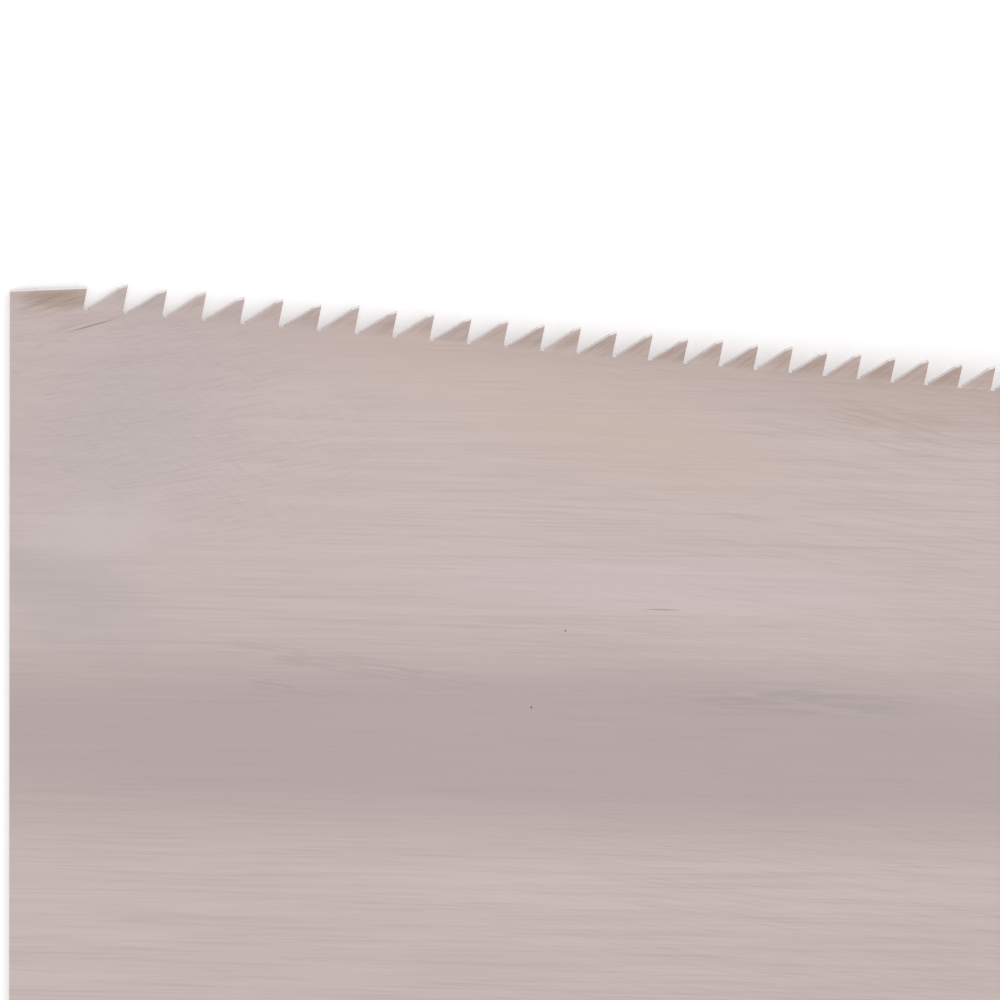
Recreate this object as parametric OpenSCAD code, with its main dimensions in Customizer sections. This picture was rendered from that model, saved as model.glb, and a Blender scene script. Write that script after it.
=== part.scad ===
// Ryoba saw: a double-edged Japanese pull saw with rip teeth on one edge and crosscut teeth on the
// other, an iron neck and tang welded to the plate, and a split wooden handle bound with cane.
// The saw lies flat. X runs from the toe to the butt of the handle and the rip edge faces +Y.
// The blade plane is horizontal, at half the handle's greatest height, and Z = 0 is under the handle.

/* [Blade] */
// Length of each edge from the toe to the heel
blade_l = 240; // [180:1:330]
// Width over the tooth points at the heel
heel_w = 66; // [60:1:80]
// Angle of each edge to the middle line
edge_taper = 4.45; // [2:0.05:6]
// Thickness of the plate
plate_t = 0.9; // [0.6:0.05:1.2]
// Distance from the toe to the first gullet of the rip edge
toe_land = 7.8; // [5:0.1:12]
// How far the plain edge by the toe lies below the line of points, at the toe
land_toe_drop = 1.75; // [0:0.05:2.5]
// The same drop where the plain edge ends
land_end_drop = 0.65; // [0:0.05:1.5]
// How far the plain edge at the heel lies below the line of points
heel_drop = 1.8; // [1:0.1:3]

/* [Rip teeth] */
// Pitch of the rip tooth next to the toe
rip_pitch = 4.1; // [3:0.05:5]
// Pitch of each rip tooth as a share of the one before it
rip_step = 0.9928; // [0.992:0.0001:0.998]
// Depth of a rip tooth as a share of its pitch
rip_depth = 0.72; // [0.55:0.01:0.8]
// Lean of the cutting face towards the handle
rip_rake = 5.6; // [0:0.1:10]
// Slope of the back of a rip tooth
rip_back = 39.8; // [38:0.1:45]
// Slope of the short facet behind the point
rip_top = 25; // [15:1:32]
// Flat at the foot of the gullet as a share of the pitch
rip_flat = 0.12; // [0.05:0.01:0.18]
// Sideways bend of each rip tooth at its point
rip_set = 0.25; // [0.1:0.01:0.4]

/* [Crosscut teeth] */
// Pitch of the crosscut teeth
cross_pitch = 1.9; // [1.6:0.05:2.6]
// Depth of the crosscut teeth
cross_depth = 1.8; // [1.4:0.05:2.2]
// Lean of the cutting face towards the handle
cross_rake = -8; // [-14:1:-4]
// Slope of the back of a crosscut tooth
cross_back = 52; // [48:1:58]
// Slope of the third facet, behind the point
cross_top = 38; // [30:1:44]
// Flat at the foot of the gullet
cross_flat = 0.1; // [0.05:0.01:0.2]
// Bevel angle filed across each crosscut tooth
fleam = 20; // [10:1:22]
// How far the bevelled side of a crosscut tooth ends below its point
bevel_drop = 0.66; // [0.6:0.02:0.9]
// Sideways bend of each crosscut tooth at its point
cross_set = 0.18; // [0.08:0.01:0.3]

/* [Heel and neck] */
// Radius of the heel corner
heel_r = 8; // [4:1:10]
// Radius of the hollow between heel and neck
hollow_r = 24; // [16:1:28]
// Slope of the shoulder between heel and neck
shoulder_angle = 60; // [50:1:66]
// Width of the neck where it meets the shoulders
neck_w = 20; // [16:1:24]
// Length of the neck from the shoulders to the handle
neck_l = 40; // [30:1:60]
// Thickness of the neck where it enters the handle
neck_t = 4.2; // [3:0.1:5]
// Reach of the welded iron leaves onto the plate, ahead of the neck
leaf_l = 15; // [8:1:22]
// Thickness of each iron leaf at its thin end
leaf_t = 0.25; // [0.15:0.05:0.5]
// Length of the plate's tongue between the iron leaves
tongue_l = 22; // [12:1:26]
// Bevel along the corners of neck and tang
neck_bevel = 0.7; // [0.3:0.1:1]

/* [Tang] */
// Length of the tang inside the handle
tang_l = 120; // [80:1:160]
// Width of the tang where it enters the handle
tang_w = 13; // [10:0.5:15]
// Width of the tang at its end
tang_tip_w = 6; // [4:0.5:9]
// Thickness of the tang at its end
tang_tip_t = 2.4; // [1.8:0.1:3]

/* [Handle] */
// Length of the handle
handle_l = 320; // [240:1:400]
// Width of the handle at its bound front part
front_w = 26; // [23:0.5:30]
// Height of the handle at its bound front part
front_h = 21.4; // [20:0.2:25]
// Greatest width of the handle, near the butt
butt_w = 33; // [28:0.5:38]
// Greatest height of the handle, near the butt
butt_h = 27; // [25:0.5:32]
// Radius round the butt
butt_r = 4; // [2:0.5:8]
// Bevel round the mouth of the handle
mouth_bevel = 1.2; // [0.5:0.1:2]
// Clearance round the tang in its slot
tang_fit = 0.1; // [0.05:0.01:0.2]
// Room in the slot beyond the end of the tang
slot_room = 0.8; // [0.3:0.1:2]

/* [Cane binding] */
// Plain wood between the mouth and the binding
bind_start = 6; // [3:0.5:15]
// Number of turns of cane
bind_turns = 24; // [12:1:24]
// Width of the cane
cane_w = 4; // [3:0.1:5]
// Thickness of the cane
cane_t = 1.4; // [1:0.1:1.8]
// Gap between neighbouring turns
turn_gap = 0.5; // [0.45:0.05:1]
// Height of the binding above the wood beside it
bind_proud = 0.3; // [0.1:0.05:0.6]
// Gap between the cane and the wood under it
cane_seat = 0.15; // [0.12:0.01:0.25]
// Inner radius of the cane where it turns into the wood
tuck_r = 1; // [0.6:0.1:1.5]
// Straight length of each tucked end
tuck_l = 4; // [4:0.1:5]

/* [Hidden] */

// Depth below the deepest gullet where the plate begins, and how far a row of teeth reaches into it
seam_depth = 0.4;
seam_lap = 0.6;
// Steps along the curves of the neck, the leaves, the handle, the butt and its half section
leaf_steps = 6;
tongue_steps = 8;
neck_steps = 6;
shoulder_steps = 12;
swell_steps = 12;
round_steps = 4;
half_sides = 20;
// Run of the small slope at each end of the rebate
rebate_run = 0.2;
// Rings in one turn of the cane and in each tucked bend
turn_rings = 24;
bend_rings = 4;
// Overlap of a cutting body past the face it opens
past = 1;

half_toe = heel_w / 2 + blade_l * sin(edge_taper);

// The frame of an edge: u runs along the line of points from the toe, v stands square to it
function edge(u, v) = [
    u * cos(edge_taper) + v * sin(edge_taper),
    half_toe - u * sin(edge_taper) + v * cos(edge_taper)
];

function pitch_of_rip(i) = rip_pitch * pow(rip_step, i);
function start_of_rip(i) = toe_land + rip_pitch * (1 - pow(rip_step, i)) / (1 - rip_step);
rip_count = floor(ln(1 - (blade_l - toe_land) * (1 - rip_step) / rip_pitch) / ln(rip_step));

// Both rows have their first point at the same distance from the toe
first_point = toe_land + rip_pitch * (1 + rip_depth * tan(rip_rake));
cross_start = first_point - cross_pitch - cross_depth * tan(cross_rake);
cross_count = floor((blade_l - cross_start) / cross_pitch);
cross_inset = plate_t * tan(fleam);

// One side of a tooth as [foot of the back, start of the top facet, point, foot of the cutting face].
// It starts at u = a. The inset and the drop draw the side in where the tooth is bevelled.
function tooth_side(a, pitch, depth, rake, back, top, flat_w, inset, drop) =
    let(
        back_foot = [a + flat_w + inset, -depth],
        face_foot = [a + pitch - inset, -depth],
        point = [face_foot.x + (depth - drop) * tan(rake), -drop],
        rise = (depth - drop - tan(top) * (point.x - back_foot.x)) / (1 - tan(top) / tan(back))
    )
    [back_foot, [back_foot.x + rise / tan(back), rise - depth], point, face_foot];

// A tooth is [start, depth, bend, upper side, lower side], where bend is 1 or -1
function rip_tooth(i) =
    let(
        pitch = pitch_of_rip(i),
        depth = rip_depth * pitch,
        side = tooth_side(start_of_rip(i), pitch, depth, rip_rake, rip_back, rip_top, rip_flat * pitch, 0, 0)
    )
    [start_of_rip(i), depth, i % 2 == 0 ? -1 : 1, side, side];

function cross_side(i, bevelled) =
    tooth_side(
        cross_start + i * cross_pitch, cross_pitch, cross_depth, cross_rake, cross_back, cross_top,
        cross_flat, bevelled ? cross_inset : 0, bevelled ? bevel_drop : 0
    );

function cross_tooth(i) =
    [
        cross_start + i * cross_pitch, cross_depth, i % 2 == 0 ? -1 : 1,
        cross_side(i, i % 2 == 0), cross_side(i, i % 2 == 1)
    ];

// A point of a tooth in space: it is bent sideways in proportion to its height above the gullet
function bent(p, side, tooth, set) =
    let(at = edge(p.x, p.y))
    [at.x, at.y, side * plate_t / 2 + tooth[2] * set * (p.y + tooth[1]) / tooth[1]];

function flat_point(u, v, side) =
    let(at = edge(u, v))
    [at.x, at.y, side * plate_t / 2];

// A whole row of teeth on a narrow strip, as one closed body. Each tooth has ten points of its own
// and shares the first four of the next tooth. The strip reaches into the plate at its root and ends.
module tooth_row(teeth, end, set, seam) {
    root = seam - seam_lap;
    last = teeth[len(teeth) - 1];
    points = [
        for (i = [0 : len(teeth) - 1])
            let(t = teeth[i], before = i == 0 ? undef : teeth[i - 1], u = i == 0 ? t[0] - seam_lap : t[0])
            each [
                flat_point(u, root, 1),
                flat_point(u, root, -1),
                i == 0 ? flat_point(t[0], -t[1], 1) : bent(before[3][3], 1, before, set),
                i == 0 ? flat_point(t[0], -t[1], -1) : bent(before[4][3], -1, before, set),
                bent(t[3][0], 1, t, set),
                bent(t[4][0], -1, t, set),
                bent(t[3][1], 1, t, set),
                bent(t[4][1], -1, t, set),
                bent(t[3][2], 1, t, set),
                bent(t[4][2], -1, t, set)
            ],
        flat_point(end + seam_lap, root, 1),
        flat_point(end + seam_lap, root, -1),
        flat_point(end, -last[1], 1),
        flat_point(end, -last[1], -1)
    ];
    faces = [
        for (i = [0 : len(teeth) - 1])
            let(k = 10 * i)
            each [
                [k, k + 2, k + 4, k + 12, k + 10],
                [k + 1, k + 11, k + 13, k + 5, k + 3],
                [k + 4, k + 6, k + 8, k + 12],
                [k + 5, k + 13, k + 9, k + 7],
                [k + 4, k + 2, k + 3, k + 5],
                [k + 6, k + 4, k + 5, k + 7],
                [k + 8, k + 6, k + 7],
                [k + 8, k + 7, k + 9],
                [k + 12, k + 8, k + 9],
                [k + 12, k + 9, k + 13],
                [k, k + 10, k + 11, k + 1]
            ],
        [2, 0, 1, 3],
        let(e = 10 * len(teeth)) [e, e + 2, e + 3, e + 1]
    ];
    polyhedron(points, faces);
}

rip_end = start_of_rip(rip_count);
rip_seam = -(rip_depth * rip_pitch + seam_depth);
cross_end = cross_start + cross_count * cross_pitch;
cross_seam = -(cross_depth + seam_depth);

// Shoulder: a round heel corner, a straight slope and a hollow that runs out along the neck
heel_corner = edge(blade_l, -heel_drop) - heel_r * [sin(edge_taper), cos(edge_taper)];
slope_start = heel_corner + heel_r * [sin(shoulder_angle), cos(shoulder_angle)];
slope_end_y = neck_w / 2 + hollow_r * (1 - cos(shoulder_angle));
neck_x = slope_start.x + (slope_start.y - slope_end_y) / tan(shoulder_angle) + hollow_r * sin(shoulder_angle);
mouth_x = neck_x + neck_l;
total_l = mouth_x + handle_l;

function shoulder() = [
    for (i = [0 : shoulder_steps])
        let(a = edge_taper + (shoulder_angle - edge_taper) * i / shoulder_steps)
        heel_corner + heel_r * [sin(a), cos(a)],
    for (i = [shoulder_steps : -1 : 0])
        let(a = shoulder_angle * i / shoulder_steps)
        [neck_x, neck_w / 2 + hollow_r] - hollow_r * [sin(a), cos(a)]
];

// Half the width of the neck, which eases from the shoulders to the tang
function neck_half(x) =
    tang_w / 2 + (neck_w - tang_w) / 2 * (1 + cos(180 * (x - neck_x) / neck_l)) / 2;

tongue_end = neck_x + tongue_l;
tongue_x = [for (i = [1 : tongue_steps]) neck_x + tongue_l * i / tongue_steps];

// One half of the plate's outline, without its teeth: the plain edge by the toe, the seam under the
// teeth, the shoulder and the side of the tongue
function half_outline(start, end, first_depth, last_depth, rake, seam) = [
    edge(land_toe_drop * tan(edge_taper), -land_toe_drop),
    edge(start + (first_depth - land_end_drop) * tan(rake), -land_end_drop),
    edge(start, -first_depth),
    edge(start, seam),
    edge(end, seam),
    edge(end, -last_depth),
    each shoulder(),
    for (x = tongue_x) [x, neck_half(x)]
];

rip_half = half_outline(
    toe_land, rip_end, rip_depth * rip_pitch, rip_depth * pitch_of_rip(rip_count - 1), rip_rake, rip_seam
);
cross_half = half_outline(cross_start, cross_end, cross_depth, cross_depth, cross_rake, cross_seam);

function mirrored(points) = [for (i = [len(points) - 1 : -1 : 0]) [points[i].x, -points[i].y]];

// Closed body through a list of rings with equal numbers of points
module loft(rings) {
    n = len(rings[0]);
    faces = [
        [for (j = [0 : n - 1]) j],
        [for (j = [n - 1 : -1 : 0]) (len(rings) - 1) * n + j],
        for (i = [0 : len(rings) - 2], j = [0 : n - 1])
            let(a = i * n + j, b = i * n + (j + 1) % n)
            each [[b, a, a + n], [b, a + n, b + n]]
    ];
    polyhedron([for (r = rings) each r], faces);
}

// Bar section with bevelled corners; the bevel leaves the thickness of the plate square at the sides
function bar_ring(x, half_w, half_t) =
    let(bevel = min(neck_bevel, 0.8 * (half_t - plate_t / 2)))
    [
        [x, half_w, half_t - bevel], [x, half_w - bevel, half_t],
        [x, bevel - half_w, half_t], [x, -half_w, half_t - bevel],
        [x, -half_w, bevel - half_t], [x, bevel - half_w, -half_t],
        [x, half_w - bevel, -half_t], [x, half_w, bevel - half_t]
    ];

// Half the thickness of the iron, which eases from the thin leaves to the mouth of the handle
leaf_x = neck_x - leaf_l;
function iron_half(x) =
    let(thin = plate_t / 2 + leaf_t)
    thin + (neck_t / 2 - thin) * (1 - cos(180 * (x - leaf_x) / (mouth_x - leaf_x))) / 2;

// Tang section at a share of its length, larger all round by a gap
function tang_ring(share, x, gap) =
    bar_ring(
        x,
        (tang_w + (tang_tip_w - tang_w) * share) / 2 + gap,
        (neck_t + (tang_tip_t - neck_t) * share) / 2 + gap
    );

// The handle's half width and half height at a distance from its mouth
bind_pitch = cane_w + turn_gap;
rebate = cane_t + cane_seat - bind_proud;
rebate_l = bind_turns * bind_pitch + cane_w + 2 * turn_gap;
rebate_end = bind_start + rebate_l;
swell_l = handle_l - butt_r - rebate_end;

function half_handle(d) =
    let(s = (1 - cos(180 * max(0, d - rebate_end) / swell_l)) / 2)
    [front_w + (butt_w - front_w) * s, front_h + (butt_h - front_h) * s] / 2;

// Half section of the handle at a distance from its mouth, drawn in by an inset
function half_ring(d, inset) =
    let(size = half_handle(min(d, handle_l - butt_r)) - [inset, inset])
    [
        for (i = [0 : half_sides])
            let(a = 180 * i / half_sides)
            [mouth_x + d, size.x * cos(a), size.y * sin(a)]
    ];

module handle_half() {
    difference() {
        loft([
            half_ring(0, mouth_bevel),
            half_ring(mouth_bevel, 0),
            half_ring(bind_start - rebate_run, 0),
            half_ring(bind_start, rebate),
            half_ring(rebate_end, rebate),
            half_ring(rebate_end + rebate_run, 0),
            for (i = [1 : swell_steps]) half_ring(rebate_end + swell_l * i / swell_steps, 0),
            for (i = [1 : round_steps])
                let(a = 90 * i / round_steps)
                half_ring(handle_l - butt_r * (1 - sin(a)), butt_r * (1 - cos(a)))
        ]);
        tang_slot();
    }
}

// The slot follows the tang's taper, from just outside the mouth to its room beyond the tang
module tang_slot() {
    loft([
        tang_ring(-past / tang_l, mouth_x - past, tang_fit),
        tang_ring(1, mouth_x + tang_l + slot_room, tang_fit)
    ]);
}

// Cane: the winding starts and ends in the middle of the underside
first_turn = mouth_x + bind_start + turn_gap + cane_w / 2;
last_turn = first_turn + bind_turns * bind_pitch;
seat_half = half_handle(0) - [rebate, rebate];
seat_low = -(seat_half.y + cane_seat);
tuck_centre = seat_low + tuck_r;

// A ring of the cane, from the middle of its flat side and the outward direction there
function cane_ring(x, at, out) = [
    for (p = [[-0.5, 0], [0.5, 0], [0.5, 0.45], [0.28, 1], [-0.28, 1], [-0.5, 0.45]])
        [x + p.x * cane_w, at.x + p.y * cane_t * out.x, at.y + p.y * cane_t * out.y]
];

function turn_ring(i) =
    let(
        a = 360 * i / turn_rings - 90,
        out = [cos(a) / seat_half.x, sin(a) / seat_half.y] / norm([cos(a) / seat_half.x, sin(a) / seat_half.y])
    )
    cane_ring(
        first_turn + bind_pitch * i / turn_rings,
        [seat_half.x * cos(a), seat_half.y * sin(a)] + cane_seat * out,
        out
    );

// A ring of a tucked bend: side is -1 at the start of the winding and 1 at its end
function bend_ring(x, side, a) =
    let(out = [side * sin(a), -cos(a)])
    cane_ring(x, [0, tuck_centre] + tuck_r * out, out);

function tuck_ring(x, side) =
    cane_ring(x, [side * tuck_r, tuck_centre + tuck_l], [side, 0]);

function cane_rings() = [
    tuck_ring(first_turn, -1),
    for (i = [bend_rings : -1 : 1]) bend_ring(first_turn, -1, 90 * i / bend_rings),
    for (i = [0 : bind_turns * turn_rings]) turn_ring(i),
    for (i = [1 : bend_rings]) bend_ring(last_turn, 1, 90 * i / bend_rings),
    tuck_ring(last_turn, 1)
];

// Least gap between a turn and the next, from the points on their facing sides
echo(least_gap_of_the_winding_mm = min([
    for (i = [0 : (bind_turns - 1) * turn_rings], k = [1, 2])
        norm(turn_ring(i)[k] - turn_ring(i + turn_rings)[k == 1 ? 0 : 5])
]));

// Hole in the underside that takes a tucked end of the cane
module tuck_hole(x, side) {
    width = cane_w + 2 * cane_seat;
    reach = tuck_r + cane_t + cane_seat;
    top = tuck_centre + tuck_l + cane_seat;
    translate([x - width / 2, side > 0 ? 0 : -reach, seat_low - past])
        cube([width, reach, top - seat_low + past]);
}

// The saw's own place: toe at -X, middle line on Y = 0, blade plane at half the handle's height
module in_place() {
    translate([-total_l / 2, 0, butt_h / 2]) children();
}

module saw_plate() {
    color([0.76, 0.71, 0.70]) in_place() union() {
        translate([0, 0, -plate_t / 2])
            linear_extrude(plate_t) polygon(concat(rip_half, mirrored(cross_half)));
        tooth_row([for (i = [0 : rip_count - 1]) rip_tooth(i)], rip_end, rip_set, rip_seam);
        mirror([0, 1, 0])
            tooth_row([for (i = [0 : cross_count - 1]) cross_tooth(i)], cross_end, cross_set, cross_seam);
    }
}

module neck_and_tang() {
    color([0.30, 0.29, 0.29]) in_place() difference() {
        loft([
            for (i = [1 : leaf_steps])
                let(a = 90 * i / leaf_steps, x = neck_x - leaf_l * cos(a))
                bar_ring(x, neck_w / 2 * sin(a), iron_half(x)),
            for (x = tongue_x) bar_ring(x, neck_half(x), iron_half(x)),
            for (i = [1 : neck_steps])
                let(x = tongue_end + (mouth_x - tongue_end) * i / neck_steps)
                bar_ring(x, neck_half(x), iron_half(x)),
            tang_ring(1, mouth_x + tang_l, 0)
        ]);
        translate([leaf_x - past, -neck_w / 2 - past, -plate_t / 2])
            cube([tongue_end - leaf_x + past, neck_w + 2 * past, plate_t]);
    }
}

module handle_upper_half() {
    color([0.80, 0.68, 0.50]) in_place() handle_half();
}

module handle_lower_half() {
    color([0.78, 0.66, 0.48]) in_place() difference() {
        mirror([0, 0, 1]) handle_half();
        tuck_hole(first_turn, -1);
        tuck_hole(last_turn, 1);
    }
}

module cane_binding() {
    color([0.72, 0.55, 0.33]) in_place() loft(cane_rings());
}

saw_plate();
neck_and_tang();
handle_upper_half();
handle_lower_half();
cane_binding();
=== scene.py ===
"""Looks of a ryoba saw: scraped steel plate, forged iron neck, split wooden handle and cane binding."""

import logging
import random
from dataclasses import dataclass
from enum import Enum
from math import ceil, cos, log, pi, radians, sin, tan

import bmesh
import bpy
from mathutils import Matrix, Vector

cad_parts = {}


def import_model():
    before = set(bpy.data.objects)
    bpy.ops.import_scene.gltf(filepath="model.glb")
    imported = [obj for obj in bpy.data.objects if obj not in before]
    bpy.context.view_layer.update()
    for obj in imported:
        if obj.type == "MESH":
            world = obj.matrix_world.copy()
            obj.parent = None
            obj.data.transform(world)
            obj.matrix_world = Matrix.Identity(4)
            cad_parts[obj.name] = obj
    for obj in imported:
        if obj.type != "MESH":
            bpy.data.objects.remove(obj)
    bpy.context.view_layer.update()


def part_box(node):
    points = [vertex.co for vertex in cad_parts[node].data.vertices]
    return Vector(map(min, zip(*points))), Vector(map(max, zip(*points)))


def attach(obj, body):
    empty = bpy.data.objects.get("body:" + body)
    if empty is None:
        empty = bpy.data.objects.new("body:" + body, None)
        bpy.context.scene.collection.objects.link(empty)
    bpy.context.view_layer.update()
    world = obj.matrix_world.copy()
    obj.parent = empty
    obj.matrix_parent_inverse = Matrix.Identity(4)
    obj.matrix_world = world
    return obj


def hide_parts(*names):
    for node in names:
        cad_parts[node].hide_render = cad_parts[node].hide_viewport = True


logger = logging.getLogger("ryoba_saw")

MM = 0.001
Colour = tuple[float, float, float]
Size = tuple[float, float, float]
Socket = bpy.types.NodeSocket

FLOAT = "NodeSocketFloat"
VECTOR = "NodeSocketVector"

WHITE = (1.0, 1.0, 1.0)
SEED_SHIFT = (7.3, 11.9, 5.7)
ANY_HEIGHT = 1.0
MERGE_GAP = 0.001 * MM


class Face(Enum):
    """A broad face of the plate. Its value is the way that it looks along Z."""

    UPPER = 1
    LOWER = -1


class Graph:
    """A node tree with short calls that add and join its nodes."""

    def __init__(self, tree: bpy.types.NodeTree) -> None:
        """Keep the tree.

        Args:
            tree: The node tree of a material, a world or a group.
        """
        self.tree = tree

    def feed(self, socket: Socket, value: object) -> None:
        """Join a socket to an output, or give it a value.

        Args:
            socket: The input to set.
            value: An output socket, a number, a vector or a colour.
        """
        if isinstance(value, bpy.types.NodeSocket):
            self.tree.links.new(value, socket)
        elif socket.type == "RGBA" and len(value) == 3:
            socket.default_value = (*value, 1.0)
        else:
            socket.default_value = value

    def fill(self, node: bpy.types.Node, inputs: dict[str | int, object]) -> None:
        """Feed several inputs of a node.

        Args:
            node: The node.
            inputs: Values or outputs for its inputs, by name or number.
        """
        for name, value in inputs.items():
            self.feed(node.inputs[name], value)

    def add(
        self, kind: str, inputs: dict[str | int, object] | None = None, **settings: object
    ) -> bpy.types.Node:
        """Add a node.

        Args:
            kind: Blender's name of the node's type.
            inputs: Values or outputs for its inputs, by name or number.
            **settings: Attributes of the node, set before its inputs.

        Returns:
            The new node.
        """
        node = self.tree.nodes.new(kind)
        for name, value in settings.items():
            setattr(node, name, value)
        self.fill(node, inputs or {})
        return node

    def math(self, operation: str, a: object, b: object = 0.0) -> Socket:
        """Return the result of a sum on one or two numbers."""
        return self.add("ShaderNodeMath", {0: a, 1: b}, operation=operation).outputs[0]

    def both(self, a: object, b: object) -> Socket:
        """Return a mask that shows where two masks both do."""
        return self.math("MULTIPLY", a, b)

    def vector(self, operation: str, a: object, b: object = (0.0, 0.0, 0.0)) -> Socket:
        """Return the vector that a sum on one or two vectors gives."""
        return self.add("ShaderNodeVectorMath", {0: a, 1: b}, operation=operation).outputs[0]

    def length(self, a: object) -> Socket:
        """Return the length of a vector."""
        return self.add("ShaderNodeVectorMath", {0: a}, operation="LENGTH").outputs["Value"]

    def parts(self, a: Socket) -> bpy.types.bpy_prop_collection:
        """Return the outputs that hold a vector's X, Y and Z."""
        return self.add("ShaderNodeSeparateXYZ", {0: a}).outputs

    def turned(self, a: Socket, angle: Socket) -> Socket:
        """Turn a vector back about Z.

        Args:
            a: The vector.
            angle: The angle that it is turned back by, in radians.

        Returns:
            The turned vector.
        """
        inputs = {"Vector": a, "Angle": self.math("MULTIPLY", angle, -1.0)}
        return self.add("ShaderNodeVectorRotate", inputs, rotation_type="Z_AXIS").outputs[0]

    def ramp(
        self, value: object, low: object, high: object, start: object = 0.0, end: object = 1.0
    ) -> Socket:
        """Return a smooth step of a value.

        Args:
            value: What is stepped.
            low: Where the step starts.
            high: Where the step ends.
            start: The result below the step.
            end: The result above it.

        Returns:
            The stepped value.
        """
        inputs = {"Value": value, "From Min": low, "From Max": high, "To Min": start, "To Max": end}
        return self.add("ShaderNodeMapRange", inputs, interpolation_type="SMOOTHSTEP").outputs["Result"]

    def noise(
        self, a: Socket, scale: object, detail: float, roughness: float = 0.5, distortion: float = 0.0
    ) -> bpy.types.bpy_prop_collection:
        """Add a noise.

        Args:
            a: The place that it is read at.
            scale: Its grains to the metre.
            detail: How many finer noises it holds.
            roughness: How strong these are.
            distortion: How much it bends.

        Returns:
            The node's outputs: a number and a colour.
        """
        inputs = {
            "Vector": a, "Scale": scale, "Detail": detail, "Roughness": roughness, "Distortion": distortion
        }
        return self.add("ShaderNodeTexNoise", inputs).outputs

    def mix(self, share: object, a: object, b: object) -> Socket:
        """Return a colour between two others.

        Args:
            share: How much of the second colour shows, from 0 to 1.
            a: The first colour.
            b: The second colour.

        Returns:
            The mixed colour.
        """
        node = self.add("ShaderNodeMix", data_type="RGBA")
        self.fill(node, {0: share, 6: a, 7: b})
        return node.outputs[2]

    def lay(self, below: object, over: object, mask: Socket, share: float) -> Socket:
        """Lay a colour over another through a mask.

        Args:
            below: The colour below.
            over: The colour laid over it.
            mask: Where it shows, from 0 to 1.
            share: How much of it shows where the mask is 1.

        Returns:
            The new colour.
        """
        return self.mix(self.math("MULTIPLY", mask, share), below, over)

    def place(self) -> Socket:
        """Return the place on the object, in metres."""
        return self.add("ShaderNodeTexCoord").outputs["Object"]

    def seen(self, *kinds: str) -> Socket:
        """Return 1 for the rays that are to see a pale studio, and 0 for those that light the saw.

        Args:
            *kinds: Kinds of ray besides the camera's own, such as Glossy.

        Returns:
            The mask.
        """
        rays = self.add("ShaderNodeLightPath").outputs
        mask = rays["Is Camera Ray"]
        for kind in kinds:
            mask = self.math("MAXIMUM", mask, rays[f"Is {kind} Ray"])
        return mask


@dataclass(frozen=True)
class Port:
    """A named input of a shared effect."""

    name: str
    kind: str = FLOAT
    value: float | Size = 0.0


def seeded(graph: Graph, vector: Socket, seed: Socket) -> Socket:
    """Move a vector far off by its seed, so that each use of a noise is another part of it.

    Args:
        graph: The group's own tree.
        vector: The vector.
        seed: Any number.

    Returns:
        The moved vector.
    """
    away = graph.add("ShaderNodeCombineXYZ", {"X": seed, "Y": seed, "Z": seed}).outputs[0]
    return graph.vector("ADD", vector, graph.vector("MULTIPLY", away, SEED_SHIFT))


class Effect:
    """A shared effect: one node group with named inputs and a mask as its output."""

    name = ""
    ports: tuple[Port, ...] = ()

    def draw(self, graph: Graph, given: bpy.types.bpy_prop_collection) -> Socket:
        """Build the inside of the group.

        Args:
            graph: The group's own tree.
            given: The outputs of its input node, by port.

        Returns:
            The socket that holds the mask.
        """
        raise NotImplementedError

    def group(self) -> bpy.types.NodeTree:
        """Build the group the first time it is asked for.

        Returns:
            The group.
        """
        made = bpy.data.node_groups.get(self.name)
        if made:
            return made
        made = bpy.data.node_groups.new(self.name, "ShaderNodeTree")
        for port in self.ports:
            socket = made.interface.new_socket(port.name, in_out="INPUT", socket_type=port.kind)
            socket.default_value = port.value
        made.interface.new_socket("Mask", in_out="OUTPUT", socket_type=FLOAT)
        graph = Graph(made)
        given = graph.add("NodeGroupInput").outputs
        graph.add("NodeGroupOutput", {"Mask": self.draw(graph, given)})
        return made

    def mask(self, graph: Graph, **values: object) -> Socket:
        """Place the effect in a material.

        Args:
            graph: The material's tree.
            **values: Values or outputs for the ports, by their names in small letters.

        Returns:
            The mask.
        """
        inputs = {name.capitalize(): value for name, value in values.items()}
        return graph.add("ShaderNodeGroup", inputs, node_tree=self.group()).outputs["Mask"]


class Streaks(Effect):
    """Fine lines that run one way: scratches, wood fibre, file strokes."""

    name = "streaks"
    ports = (
        Port("Vector", VECTOR, (0.0, 0.0, 0.0)),
        Port("Angle"),
        Port("Along", value=150.0),
        Port("Across", value=5000.0),
        Port("Low", value=0.5),
        Port("High", value=0.62),
        Port("Seed"),
    )

    def draw(self, graph: Graph, given: bpy.types.bpy_prop_collection) -> Socket:
        """Draw out a noise along the given angle.

        Args:
            graph: The group's own tree.
            given: The outputs of its input node, by port.

        Returns:
            The socket that holds the mask.
        """
        grains = {"X": given["Along"], "Y": given["Across"], "Z": given["Across"]}
        sizes = graph.add("ShaderNodeCombineXYZ", grains).outputs[0]
        drawn = graph.vector("MULTIPLY", graph.turned(given["Vector"], given["Angle"]), sizes)
        moved = seeded(graph, drawn, given["Seed"])
        noise = graph.noise(moved, scale=1.0, detail=3.0, roughness=0.6, distortion=0.5)[0]
        return graph.ramp(noise, given["Low"], given["High"])


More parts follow.
